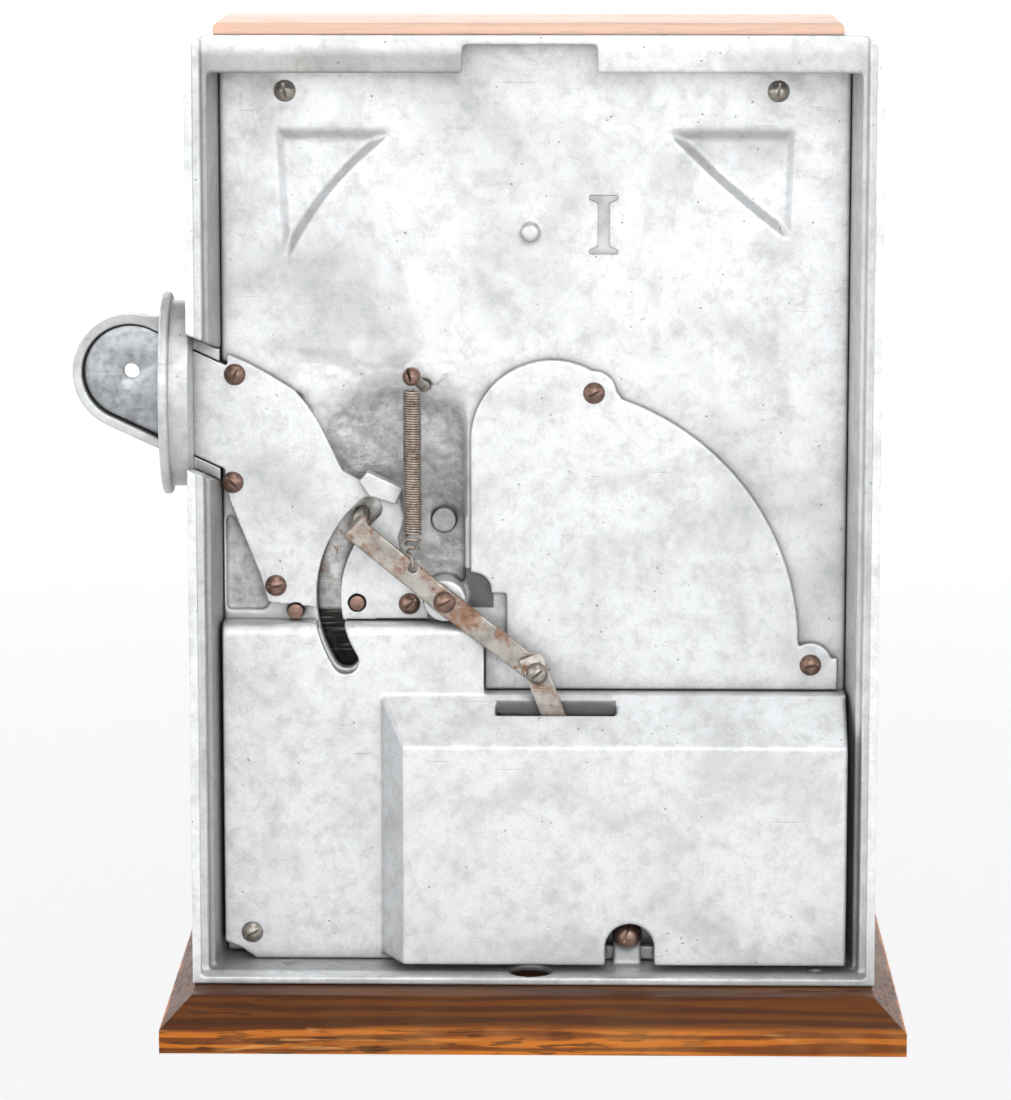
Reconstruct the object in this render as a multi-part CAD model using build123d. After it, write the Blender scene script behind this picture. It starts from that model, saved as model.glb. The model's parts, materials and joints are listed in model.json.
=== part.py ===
"""Counter-top penny game: cast aluminium case on an oak base, seen with its rear door slid off.

Axes: +Z is up, the player stands on the -Y side, the open back faces +Y, and the coin cup is on
the +X side.  The origin is the centre of the oak base's underside.  All sizes are millimetres.
"""
import os
from math import atan2, cos, degrees, radians, sin, sqrt, tan

from build123d import *

# ---------------------------------------------------------------- overall sizes
case_width = 292.0
case_depth = 90.0
case_height = 405.5
drawn_height = 405.5      # case height that the upper places below are given for
base_width = 316.0
base_depth = 200.0
base_height = 22.0
base_edge = 10.0          # upright edge below the bevel
base_bevel = 13.0         # how far the bevel leans in
rim_setback = 28.0        # rear edge of the base to the case's rear rim

# ---------------------------------------------------------------- clearances
seat_gap = 0.3            # between castings that lie side by side
run_gap = 0.5             # around moving plates
pin_gap = 0.05            # radial, shaft in hole
hidden_play = 0.2         # below a sunk head and at the end of a blind hole

# ---------------------------------------------------------------- case
wall_lip = 3.8            # wall thickness at the very rim
lip_depth = 9.0
groove_depth = 1.4        # door groove behind the lip
groove_width = 4.0
wall_rim = 6.4            # wall thickness just inside the lip
wall_root = 11.5          # wall thickness at the mechanism panel
top_wall = 4.0
floor_wall = 3.5
header_setback = 16.0     # rim to the header's rear face
header_drop = 16.0
header_wall = 6.0
pocket_width = 56.6
pocket_drop = 3.6         # header left above the pocket
pocket_offset = 2.0
case_corner = 9.0
lug_width = 18.0          # lugs that carry the mechanism panel
lug_depth = 12.0
corner_block = 6.0        # blocks that take the front's screws
corner_depth = 16.0
drain_radius = 9.4
drain_setback = 12.0
drain_in = 144.8
small_hole_radius = 3.0
small_hole_x = 121.8
small_hole_setback = 13.0

# ---------------------------------------------------------------- mechanism panel
panel_inset = 40.0        # rim to the panel's rear face
panel_thickness = 8.0
pocket_depth = 5.0        # coin channel and the rough pocket
ornament_depth = 4.0
ornament_taper = 45.0     # lean of the corner recesses' walls, in degrees
corner_depth_low = 3.0    # shallow recess under the mechanism cover's lower left
cover_thickness = 4.0     # mechanism cover and fan cover

# mechanism positions: distance in from the +X wall's outer face, height above the base
pivot_in = 107.6
pivot_up = 162.3
pivot_radius = 3.2
pivot_boss_radius = 9.0
striker_radius = 50.4     # radius of the arc slot
slot_width = 10.5
rest_angle = 44.0
travel_angle = 70.0
strap_width = 10.4
strap_thickness = 2.4
strap_standoff = 12.6     # panel face to the strap
shield_inner = 40.0       # ring that rides with the lever and closes the arc slot
shield_outer = 61.0
shield_thickness = 1.2
shield_recess = 2.0
link_arm = 50.1           # pivot to the link screw
link_arm_angle = 217.6
link_width = 10.0
link_thickness = 2.0
link_gap = 0.3
elbow_in = 154.0          # the link's straight lower part
foot_up = 36.0
foot_pin_up = 5.0
foot_pin_radius = 2.0
release_left = 14.0       # edges of the lifting plate either side of the link
release_right = 24.0
release_gap = 3.4         # link to the lifting plate's near face
release_thickness = 1.6
rail_width = 4.0
spring_in = 94.0
spring_foot_up = 177.0
spring_head_up = 260.1
spring_radius = 4.0
spring_wire = 1.1

# coin cup and slide
incline = 25.0
cup_out = 27.2            # wall's outer face to the centre of the finger hole
cup_up = 259.5
slide_radius = 20.0
slide_length = 42.0
slide_travel = 24.0
slide_relief = 4.8        # flat on the slide's upper edge, past the first cover screw
slide_thickness = 2.0
slide_hole = 3.5
cup_gap = 1.0
cup_rim = 4.0
cup_rim_height = 2.0      # rim above the panel's rear face
cup_floor = 3.0
prong_thickness = 5.2
flange_tall = 87.0
flange_deep = 56.0
flange_thickness = 4.2
flange_up = 251.8
flange_offset = 8.0       # panel's rear face to the flange's middle
cup_screw_rise = 37.0     # flange's middle to each of its screws
pad_thickness = 8.3
pad_inset = 3.5           # flange's edge to the pad's
slide_float = 1.2         # channel floor to the slide
coin_bite = 15.8          # radius of the slide's hollow end that carries the coin

# lower housing
housing_wall = 3.5
housing_proud = 12.0      # left part, above the panel
box_proud = 31.0          # cash box, above the panel
housing_top_up = 152.0
housing_step_up = 121.5   # crest of the box's sloping top
box_slope_drop = 19.0
box_left_in = 79.7
box_left_lean = 10.5
step_in = 124.4           # left part's right-hand end
box_floor_gap = 3.0
link_slot_length = 52.0
link_slot_in = 155.5      # wall to the slot's middle
link_slot_width = 4.6
link_slot_setback = 2.2   # crest to the slot

# front
front_plate = 5.0
bezel_wall = 4.0
window_radius = 104.0
window_up = 252.0
window_sill = 36.0        # window centre down to the sill
glass_thickness = 3.0
coin_space = 5.0
playfield_thickness = 3.0
knob_radius = 9.0
knob_length = 16.0
rod_in_knob = 10.0
rod_radius = 3.0
tray_width = 96.0
tray_depth = 54.0
tray_height = 30.0
tray_wall = 4.0

# fasteners
head_radius = 4.7
head_height = 2.9
shank_radius = 2.4
screw_slot = 1.1
base_screw_in = 40.0      # case wall, front and rear rim to the screws under the base
base_screw_front = 18.0
base_screw_rear = 22.0
holddown_in = 186.4       # angled screw in the cash box's notch
holddown_up = 17.2
holddown_lean = 62.0
holddown_head = 6.4
holddown_shank = 2.6
notch_radius = 10.6
hook_hole_radius = 1.9

# screws through the covers and pins: distance in, height, slot angle or radius
cover_screws = [(17.7, 259.1, 62), (16.4, 212.3, -42), (34.6, 167.2, 8), (92.2, 159.4, 40)]
fan_screws = [(171.5, 251.4, 30), (265.2, 133.0, 12)]
pin_places = [(69.6, 159.7, 3.2), (43.0, 155.9, 3.2)]
panel_screws = [(39.8, 380.3), (249.3, 380.3)]
housing_screw = (23.7, 15.4)

# ---------------------------------------------------------------- derived places
half = case_width / 2
rim_y = base_depth / 2 - rim_setback
front_y = rim_y - case_depth
top_z = base_height + case_height
rise_z = case_height - drawn_height
panel_y = rim_y - panel_inset
panel_front = panel_y - panel_thickness
cover_y = panel_y + cover_thickness
channel_y = panel_y - pocket_depth
panel_half = half - wall_root - seat_gap
floor_z = base_height + floor_wall
pivot_x = half - pivot_in
pivot_z = base_height + pivot_up
strap_y = panel_y + strap_standoff
link_y = strap_y + strap_thickness + link_gap
link_x = pivot_x + link_arm * cos(radians(link_arm_angle))
link_z = pivot_z + link_arm * sin(radians(link_arm_angle))
cup_x = half + cup_out
cup_z = base_height + cup_up
cup_middle_y = panel_y + flange_offset
flange_z = base_height + flange_up
slide_y = channel_y + slide_float
pin_y = channel_y - 0.5
housing_y = panel_y + housing_proud
box_y = panel_y + box_proud
housing_top_z = base_height + housing_top_up
crest_z = base_height + housing_step_up
box_left = half - box_left_in
step_x = half - step_in
window_z = base_height + window_up
glass_y = panel_front - playfield_thickness - coin_space - glass_thickness
playfield_y = panel_front - playfield_thickness
spring_x = half - spring_in


def place(inward, up):
    """A point of the mechanism: distance in from the +X wall, height above the base."""
    return (half - inward, base_height + up)


def slab(sketch, y_front, y_rear):
    """A sketch drawn in X and Z, made solid from y_front to y_rear."""
    return extrude(Plane.XZ.offset(-y_rear) * sketch, y_rear - y_front)


def disc(x, z, radius):
    return Pos(x, z) * Circle(radius)


def peg(x, z, radius, y_front, y_rear):
    return slab(disc(x, z, radius), y_front, y_rear)


def block(x0, x1, y0, y1, z0, z1):
    """A box between opposite corners."""
    centre = Pos((x0 + x1) / 2, (y0 + y1) / 2, (z0 + z1) / 2)
    return centre * Box(abs(x1 - x0), abs(y1 - y0), abs(z1 - z0))


def panel_rect(x0, x1, z0, z1):
    return Pos((x0 + x1) / 2, (z0 + z1) / 2) * Rectangle(abs(x1 - x0), abs(z1 - z0))


def outline(points):
    return make_face(Polyline(*points, close=True))


def arc_band(x, z, radius, width, start, stop):
    """A round-ended slot that follows a circle, angles in degrees from +X."""
    arc = CenterArc((x, z), radius, start, stop - start)
    return SlotArc(arc, width)


def screw(radius, height, shank, length, slot_turn):
    """A round-head slotted screw, head up, seated at the origin."""
    ball = (radius ** 2 + height ** 2) / (2 * height)
    head = Pos(0, 0, height - ball) * Sphere(ball)
    head &= Pos(0, 0, height / 2) * Box(3 * radius, 3 * radius, height)
    body = head + Pos(0, 0, -length / 2) * Cylinder(shank, length)
    groove = Pos(0, 0, height) * Box(3 * radius, screw_slot, height)
    return body - Rot(0, 0, slot_turn) * groove


def rear_screw(x, z, y, length, turn, radius=head_radius, height=head_height, shank=shank_radius):
    """A screw driven from the open back."""
    return Pos(x, y, z) * Rot(-90, 0, 0) * screw(radius, height, shank, length, turn)


def front_screw(x, z, y, length, turn):
    """A screw driven from the player's side."""
    return Pos(x, y, z) * Rot(90, 0, 0) * screw(head_radius, head_height, shank_radius, length, turn)


def save(name, *solids):
    shape = solids[0] if len(solids) == 1 else Compound(children=list(solids))
    export_step(shape, f"parts/{name}.step")


os.makedirs("parts", exist_ok=True)


# ---------------------------------------------------------------- oak base
def make_base():
    bottom = Rectangle(base_width, base_depth)
    top = Rectangle(base_width - 2 * base_bevel, base_depth - 2 * base_bevel)
    board = extrude(bottom, base_edge)
    board += loft([Pos(0, 0, base_edge) * bottom, Pos(0, 0, base_height) * top])
    for x, y in base_screw_places():
        board -= Pos(x, y, base_height / 2) * Cylinder(shank_radius + pin_gap, base_height)
        board -= Pos(x, y, head_height / 2) * Cylinder(head_radius + pin_gap, head_height)
    return board


def base_screw_places():
    x = half - base_screw_in
    return [(sx * x, y) for sx in (-1, 1) for y in (front_y + base_screw_front, rim_y - base_screw_rear)]


def make_base_screws():
    length = base_height + floor_wall - head_height - hidden_play
    shape = screw(head_radius, head_height - hidden_play, shank_radius, length, 20)
    shape = Pos(0, 0, head_height) * Rot(180, 0, 0) * shape
    return [Pos(x, y, 0) * shape for x, y in base_screw_places()]


# ---------------------------------------------------------------- case
def make_case():
    shell = block(-half, half, front_y, rim_y, base_height, top_z)
    tall = [edge for edge in shell.edges().filter_by(Axis.Y) if edge.center().Z > top_z - 1]
    shell = fillet(tall, case_corner)
    ceiling = top_z - top_wall
    rear = Plane.XZ.offset(-rim_y) * panel_rect(-half + wall_rim, half - wall_rim, floor_z, ceiling)
    root = Plane.XZ.offset(-panel_y) * panel_rect(-half + wall_root, half - wall_root, floor_z, ceiling)
    shell -= loft([rear, root])
    shell -= block(-half + wall_root, half - wall_root, front_y, panel_y + 1, floor_z, ceiling)
    # open strip above, so that the rear door can be lowered in
    shell -= block(-half + wall_lip, half - wall_lip, rim_y - lip_depth, rim_y, floor_z, top_z)
    shell -= block(-half + wall_rim, half - wall_rim, rim_y - header_setback, rim_y, floor_z, top_z)
    groove = half - wall_lip + groove_depth
    shell -= block(-groove, groove, rim_y - lip_depth, rim_y - lip_depth + groove_width, floor_z, top_z)
    header_y = rim_y - header_setback
    inner = half - wall_rim - 1
    header = block(-inner, inner, header_y - header_wall, header_y, top_z - header_drop, top_z - 1)
    tab = pocket_width / 2
    header -= block(pocket_offset - tab, pocket_offset + tab, header_y - header_wall, header_y,
                    top_z - header_drop, top_z - pocket_drop)
    shell += header
    # lugs that carry the mechanism panel, and corner blocks for the front
    lug = lug_width / 2
    for inward, up in panel_screws:
        x, z = place(inward, up + rise_z)
        shell += block(x - lug, x + lug, panel_front - lug_depth, panel_front, z - lug, ceiling + 1)
        shell -= peg(x, z, shank_radius + pin_gap, panel_front - lug_depth, panel_front)
    for x, z in front_screw_places():
        side = 1 if x > 0 else -1
        lift = 1 if z > base_height + case_height / 2 else -1
        edge_z = ceiling + 1 if lift > 0 else floor_z - 1
        wall_x = side * (half - wall_root + 1)
        shell += block(x - side * corner_block, wall_x, front_y, front_y + corner_depth, z - lift * 7, edge_z)
        shell -= peg(x, z, shank_radius + pin_gap, front_y, front_y + corner_depth - 2)
    shell -= cup_notch()
    for x, y in base_screw_places():
        shell -= Pos(x, y, base_height) * Cylinder(shank_radius + pin_gap, 4 * floor_wall)
    floor_tool = 4 * floor_wall
    shell -= Pos(half - drain_in, rim_y - drain_setback, base_height) * Cylinder(drain_radius, floor_tool)
    small_hole = Cylinder(small_hole_radius, floor_tool)
    shell -= Pos(-small_hole_x, rim_y - small_hole_setback, base_height) * small_hole
    # boss and web under the angled screw
    x, z = place(holddown_in, holddown_up)
    boss = holddown_head - 0.4
    shell += holddown_seat() * Pos(0, 0, -4) * Cylinder(boss, 8)
    shell += block(x - boss, x + boss, housing_y + 3, housing_y + 7, floor_z - 1, z - 3)
    shell -= holddown_seat() * Pos(0, 0, -5) * Cylinder(holddown_shank + pin_gap, 10 + hidden_play)
    cup_screw_hole = Cylinder(shank_radius + pin_gap, 2 * wall_root - 4)
    for z in cup_screw_heights():
        shell -= Pos(half, cup_middle_y, z) * Rot(0, 90, 0) * cup_screw_hole
    return shell


def holddown_seat():
    """Seat of the angled screw that holds the housing down."""
    x, z = place(holddown_in, holddown_up)
    return Pos(x, housing_y + 9, z + 1) * Rot(-holddown_lean, 0, 0)


def cup_screw_heights():
    return [flange_z - cup_screw_rise, flange_z + cup_screw_rise]


def front_screw_places():
    x = half - wall_root - 5
    low = floor_z + 8
    high = top_z - top_wall - 8
    return [(sx * x, z) for sx in (-1, 1) for z in (low, high)]


def incline_z(x):
    """Height of the slide's centre line at x."""
    return cup_z - (cup_x - x) * tan(radians(incline))


def neck(x_in, x_out, low_extra, high_extra):
    """The band between the prongs, from x_in to x_out, widened by the extras."""
    lift = (slide_radius + cup_gap) / cos(radians(incline))
    return outline([
        (x_out, incline_z(x_out) + lift + high_extra), (x_in, incline_z(x_in) + lift + high_extra),
        (x_in, incline_z(x_in) - lift - low_extra), (x_out, incline_z(x_out) - lift - low_extra)])


def cup_notch():
    """The gap in the +X wall that the coin cup's neck is let into from the rear."""
    wide = prong_thickness + seat_gap
    inner = half - wall_root - 3
    outer = half + 1
    notch = slab(neck(inner, outer, wide, wide), channel_y - cup_floor - seat_gap, cover_y + seat_gap)
    lift = 6.0
    low = neck(inner, outer, wide, wide)
    near = Plane.XZ.offset(-cover_y) * low
    rear = Plane.XZ.offset(-rim_y - 1) * (Pos(0, lift) * low)
    return notch + loft([near, rear])


# ---------------------------------------------------------------- coin cup and slide
def slide_outline(radius, length):
    """Strip with a round outer end, along the incline, centred on the finger hole."""
    strip = Circle(radius) + Pos(-length / 2, 0) * Rectangle(length, 2 * radius)
    return Pos(cup_x, cup_z) * Rot(0, 0, incline) * strip


def make_cup():
    pocket = slide_radius + cup_gap
    outer = pocket + cup_rim
    outside = panel_rect(half + 2, half + 200, 0, top_z)
    reach = slide_length + 40
    body = slide_outline(outer, reach) & outside
    shoulder = cup_z + outer - 0.8
    body += outline([
        (half + 2, shoulder), (cup_x + 3, shoulder), (cup_x + 6, cup_z + 10), (half + 2, cup_z - 10)])
    cup = slab(body, channel_y - cup_floor, panel_y + cup_rim_height)
    flat = half - wall_root + seat_gap
    cup += slab(neck(flat, half + 4, prong_thickness, prong_thickness), channel_y - cup_floor, cover_y)
    pad = Pos(half, cup_middle_y, flange_z) * Rot(0, 90, 0) * extrude(
        Ellipse(flange_tall / 2 - pad_inset, flange_deep / 2 - pad_inset), pad_thickness)
    plate = Pos(half + pad_thickness, cup_middle_y, flange_z) * Rot(0, 90, 0) * extrude(
        Ellipse(flange_tall / 2, flange_deep / 2), flange_thickness)
    edge = plate.edges().filter_by(GeomType.ELLIPSE)
    plate = fillet(edge, flange_thickness * 0.4)
    cup += pad + plate
    # the slide's channel, open along the whole unit
    cup -= slab(slide_outline(pocket, reach), channel_y, channel_y + 4.4)
    past_flange = panel_rect(half + pad_thickness + flange_thickness, cup_x + 60, 0, top_z)
    cup -= slab(slide_outline(pocket, reach) & past_flange, channel_y, cover_y + 10)
    cup -= slab(neck(flat - 5, half + 3, 0, 0), channel_y, cover_y + 1)
    for z in cup_screw_heights():
        cup -= Pos(half, cup_middle_y, z) * Rot(0, 90, 0) * Cylinder(shank_radius + pin_gap, 60)
    return cup


def make_cup_screws():
    seat = half + pad_thickness + flange_thickness
    shape = screw(head_radius - 0.7, head_height, shank_radius, pad_thickness + flange_thickness + 5, 35)
    return [Pos(seat, cup_middle_y, z) * Rot(0, 90, 0) * shape for z in cup_screw_heights()]


def make_slide():
    face = slide_outline(slide_radius, slide_length)
    coin = Pos(cup_x, cup_z) * Rot(0, 0, incline) * Pos(-slide_length - 8, 0) * Circle(coin_bite)
    flat_y = slide_radius - slide_relief / 2
    flat = Pos(-slide_length / 2 - 14, flat_y) * Rectangle(slide_length, slide_relief)
    face -= Pos(cup_x, cup_z) * Rot(0, 0, incline) * flat
    return slab(face - coin - disc(cup_x, cup_z, slide_hole), slide_y, slide_y + slide_thickness)


# ---------------------------------------------------------------- mechanism panel
def channel_outline(grow=0.0):
    """The coin's way in, under the mechanism cover."""
    reach = slide_length + slide_travel + 4
    inside = panel_rect(-half, half - wall_root + 1, 0, top_z)
    return slide_outline(slide_radius + cup_gap + grow, reach) & inside


def lever_slot(grow=0.0):
    """The arc that the lever's bent end travels in."""
    margin = 6
    return arc_band(pivot_x, pivot_z, striker_radius, slot_width + 2 * grow,
                    rest_angle + margin, rest_angle - travel_angle - margin)


def left_ornament():
    corner, tip = place(35.4, 363.8), place(88.5, 363.8)
    foot, bow = place(38.5, 302.5), place(57.2, 334.3)
    edge = Line(corner, tip) + ThreePointArc(tip, bow, foot) + Line(foot, corner)
    return Pos(0, rise_z) * make_face(edge)


def right_ornament():
    corner, tip = place(257.1, 363.8), place(200.6, 363.8)
    foot, bow = place(255.4, 315.6), place(226.7, 338.6)
    edge = Line(corner, tip) + ThreePointArc(tip, bow, foot) + Line(foot, corner)
    return Pos(0, rise_z) * make_face(edge)


def make_panel():
    sheet = panel_rect(-panel_half, panel_half, floor_z, top_z - top_wall - seat_gap)
    panel = slab(sheet, panel_front, panel_y)
    for shape in (left_ornament(), right_ornament()):
        face = Plane.XZ.offset(-panel_y) * fillet(shape.vertices(), 2.0)
        panel -= extrude(face, ornament_depth, taper=ornament_taper)
    rough = outline([place(58, 243), place(80, 252), place(112, 249), place(116, 236), place(116, 166),
                     place(88, 158), place(66, 158), place(50, 200)])
    panel -= slab(fillet(rough.vertices(), 5), channel_y, panel_y)
    corner = outline([place(13, 203), place(34, 164), place(30, 156), place(13, 156)])
    panel -= slab(fillet(corner.vertices(), 2), panel_y - corner_depth_low, panel_y)
    panel -= slab(channel_outline(), channel_y, panel_y)
    panel += peg(pivot_x, pivot_z, pivot_boss_radius, panel_front, strap_y - seat_gap)
    panel += peg(*place(144.1, 320.1 + rise_z), 3.8, channel_y, panel_y + 3)
    mark_x, mark_z = place(175.4, 323 + rise_z)
    panel += block(mark_x - 1.5, mark_x + 1.5, channel_y, panel_y + 0.5, mark_z - 11, mark_z + 11)
    post_x, post_z = post_foot()
    panel += peg(post_x, post_z, 5.4, panel_front, panel_y + 3.5)
    panel -= peg(post_x, post_z, 2.6, panel_front, panel_y + 3.5)
    panel -= slab(lever_slot(), panel_front, panel_y)
    ring = disc(pivot_x, pivot_z, shield_outer + run_gap) - disc(pivot_x, pivot_z, shield_inner - run_gap)
    panel -= slab(ring, panel_front, panel_front + shield_recess)
    panel -= peg(pivot_x, pivot_z, pivot_radius - 0.7 + pin_gap, panel_front, strap_y)
    for inward, up in panel_screws:
        x, z = place(inward, up + rise_z)
        panel -= peg(x, z, shank_radius + pin_gap, panel_front, panel_y)
    for inward, up, _ in cover_screws + fan_screws:
        panel -= peg(*place(inward, up), shank_radius + pin_gap, panel_front, panel_y)
    for inward, up, radius in pin_places:
        panel -= peg(*place(inward, up), radius, pin_y, panel_y)
    panel -= peg(*plug_place(), 5.2, panel_front, panel_y)
    panel -= peg(*place(*housing_screw), shank_radius + pin_gap, panel_front, panel_y)
    return panel


def plug_place():
    return place(106.9, 194.6)


def post_foot():
    return place(spring_in + 4.6, spring_head_up - 6)


# ---------------------------------------------------------------- covers
def make_mech_cover():
    points = [
        (14.5, 267.8), (23.6, 263.9), (33.6, 258.3), (43.1, 252.3), (48.3, 246.2), (53, 239.2),
        (56.5, 232.3), (60, 224.9), (63.4, 217.6), (67.3, 215.4), (71, 213.4), (88, 204.6),
        (89.9, 196.7), (87.3, 188), (88.5, 176), (95, 163.3), (100.3, 162.6), (100.3, 152.9),
        (63, 152.4), (52.2, 157.7), (31.4, 159.9), (27.9, 172), (14.9, 204.6), (13, 215.4)]
    body = outline([place(*point) for point in points])
    body += neck(half - 15, half + 2.6, -run_gap, -run_gap)
    cut = half - wall_root - seat_gap - 1.4
    body -= neck(cut, half, 20, 20) - neck(cut, half, -run_gap, -run_gap)
    cover = slab(body, panel_y, cover_y)
    lug = outline([
        place(71, 213.4), place(74.4, 217.6), place(90, 210.5), place(86.5, 203.5), place(75, 207)])
    cover += slab(lug, panel_y, cover_y + 4)
    cover -= slab(lever_slot(), panel_y, cover_y + 5)
    for inward, up, _ in cover_screws:
        cover -= peg(*place(inward, up), shank_radius + pin_gap, panel_y, cover_y + 5)
    for inward, up, radius in pin_places:
        cover -= peg(*place(inward, up), radius + 0.7, panel_y, cover_y)
    return cover - peg(pivot_x, pivot_z, pivot_boss_radius + seat_gap, panel_y, cover_y)


def make_fan_cover():
    centre_x = half - 146.0
    centre_z = base_height + 141.0
    radius = centre_x + half - 32.0
    left = half - 118.5
    round_x, round_z = place(153.5, 230.5)
    low = crest_z + seat_gap
    body = disc(centre_x, centre_z, radius) & panel_rect(-half, left - 15.5, centre_z, top_z)
    body += disc(round_x, round_z, 35)
    body += panel_rect(round_x, left, base_height + 164, round_z)
    body += panel_rect(centre_x - radius, left - 6, low, centre_z)
    for inward, up, _ in fan_screws:
        body += disc(*place(inward, up), 9.5)
    body += panel_rect(-half + 15, -half + 40, low, low + 14)
    body = body & panel_rect(-half + 14.5, left, low, top_z)
    body -= disc(*place(119.5, 165), 8)
    cover = slab(body, panel_y, cover_y)
    for inward, up, _ in fan_screws:
        cover -= peg(*place(inward, up), shank_radius + pin_gap, panel_y, cover_y)
    return cover


# ---------------------------------------------------------------- lower housing
def make_housing():
    edge = half - wall_root - seat_gap
    left_end = edge
    slab_face = panel_rect(step_x, left_end, floor_z, housing_top_z)
    slab_face += panel_rect(-edge, left_end, floor_z, crest_z)
    body = slab(slab_face, panel_y, housing_y)
    top_edge = [e for e in body.edges().filter_by(Axis.X)
                if e.center().Z > housing_top_z - 1 and e.center().Y > housing_y - 1]
    body = fillet(top_edge, 5)
    low = floor_z + box_floor_gap
    drop = box_slope_drop
    back = Plane.XZ.offset(-housing_y + 0.5) * panel_rect(-edge, box_left, low, crest_z)
    face = Plane.XZ.offset(-box_y) * panel_rect(-edge, box_left - box_left_lean, low, crest_z - drop)
    cash_box = loft([back, face])
    ridge = [e for e in cash_box.edges() if e.center().Y > housing_y + 2 and e.center().Z > low + 1]
    cash_box = fillet(ridge, 1.6)
    body += cash_box
    wall = housing_wall
    room = panel_rect(step_x + wall, left_end - wall, floor_z, housing_top_z - wall)
    room += panel_rect(-edge + wall, left_end - wall, floor_z, crest_z - wall)
    hollow = slab(room, panel_y, housing_y - wall)
    inside = panel_rect(-edge + wall, box_left - wall, low + wall, crest_z - wall)
    back = Plane.XZ.offset(-panel_y) * inside
    middle = Plane.XZ.offset(-housing_y + wall) * inside
    face = Plane.XZ.offset(-box_y + wall) * panel_rect(
        -edge + wall, box_left - box_left_lean - wall, low + wall, crest_z - drop - wall)
    body -= hollow + loft([back, middle]) + loft([middle, face])
    slot_y = housing_y + link_slot_setback
    slot_x = half - link_slot_in
    body -= block(slot_x - link_slot_length / 2, slot_x + link_slot_length / 2, slot_y,
                  slot_y + link_slot_width, crest_z - drop - wall, crest_z + 5)
    body -= slab(lever_slot(0.4), panel_y, housing_y + 1)
    notch_x, notch_z = place(holddown_in + 1, holddown_up - 3)
    body -= peg(notch_x, notch_z, notch_radius, housing_y, box_y + 1)
    body -= block(notch_x - notch_radius, notch_x + notch_radius, housing_y, box_y + 1, 0, notch_z)
    corner = outline([(left_end + 1, floor_z + 8), (left_end - 7, floor_z + 5), (left_end - 15, floor_z - 1),
                      (left_end + 1, floor_z - 1)])
    body -= slab(corner, panel_y, housing_y + 1)
    body -= peg(*place(*housing_screw), shank_radius + pin_gap, panel_y, housing_y + 1)
    boss = peg(*place(*housing_screw), 6.5, panel_y, housing_y - wall)
    boss -= peg(*place(*housing_screw), shank_radius + pin_gap, panel_y, housing_y)
    return body + boss


# ---------------------------------------------------------------- lever, link and release slide
def strap_outline():
    turn = Pos(pivot_x, pivot_z) * Rot(0, 0, rest_angle - 4.5)
    left = turn * Pos(striker_radius / 2 + 2, 0) * Rectangle(striker_radius + 4, strap_width)
    arm = Rectangle(link_arm + 9, strap_width)
    arm = Pos(pivot_x, pivot_z) * Rot(0, 0, link_arm_angle) * Pos(link_arm / 2 - 0.5, 0) * arm
    return left + arm + disc(pivot_x, pivot_z, strap_width / 2)


def rod_place():
    """Centre of the thumb rod, in the bent end at rest."""
    turn = radians(rest_angle)
    return (pivot_x + striker_radius * cos(turn), pivot_z + striker_radius * sin(turn))


def hook_place():
    """Hole in the strap for the spring's lower hook."""
    return (spring_x - 0.1, base_height + spring_foot_up)


def make_strap():
    face = strap_outline()
    face -= disc(pivot_x, pivot_z, pivot_radius + pin_gap)
    face -= disc(link_x, link_z, shank_radius + pin_gap)
    face -= disc(*hook_place(), hook_hole_radius)
    face -= disc(*rod_place(), rod_radius - 0.6)
    return slab(face, strap_y, strap_y + strap_thickness)


def make_thumb_rod():
    x, z = rod_place()
    rod = peg(x, z, rod_radius, front_y - front_plate - 2.5 - rod_in_knob, strap_y)
    return rod + peg(x, z, rod_radius - 0.6 - pin_gap, strap_y - 1, strap_y + strap_thickness + 0.8)


def make_shield():
    ring = disc(pivot_x, pivot_z, shield_outer) - disc(pivot_x, pivot_z, shield_inner)
    ring -= disc(*rod_place(), rod_radius + pin_gap)
    y = panel_front + (shield_recess - shield_thickness) / 2
    return slab(ring, y, y + shield_thickness)


def make_knob():
    x, z = rod_place()
    shape = Cylinder(knob_radius, knob_length)
    shape = fillet(shape.edges(), 3)
    near = front_y - front_plate - 2.5
    knob = Pos(x, near - knob_length / 2, z) * Rot(90, 0, 0) * shape
    return knob - peg(x, z, rod_radius + pin_gap, near - rod_in_knob, near)


def make_link():
    mouth_z = crest_z - 7
    elbow_x = half - elbow_in
    foot_z = base_height + foot_up
    shin = panel_rect(elbow_x - link_width / 2, elbow_x + link_width / 2, foot_z, mouth_z)
    across = degrees(atan2(mouth_z - link_z, elbow_x - link_x))
    span = sqrt((mouth_z - link_z) ** 2 + (elbow_x - link_x) ** 2)
    thigh = Pos(link_x, link_z) * Rot(0, 0, across) * Pos(span / 2 - 2, 0) * Rectangle(span + 12, link_width)
    face = thigh + shin + disc(elbow_x, mouth_z, link_width / 2)
    face -= disc(link_x, link_z, shank_radius + pin_gap)
    link = slab(face, link_y, link_y + link_thickness)
    return link + peg(elbow_x, foot_z + foot_pin_up, foot_pin_radius, link_y - 4.2, link_y + 0.5)


def make_link_screw():
    length = strap_thickness + link_thickness + link_gap + 0.6
    return rear_screw(link_x, link_z, link_y + link_thickness + 0.1, length, 38)


def make_pivot_screw():
    y = strap_y + strap_thickness + 0.2
    shoulder = strap_thickness + 0.2 + seat_gap
    body = rear_screw(pivot_x, pivot_z, y, shoulder, 25, shank=pivot_radius)
    return body + peg(pivot_x, pivot_z, pivot_radius - 0.7, panel_front + 2, y - shoulder + 0.5)


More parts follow.
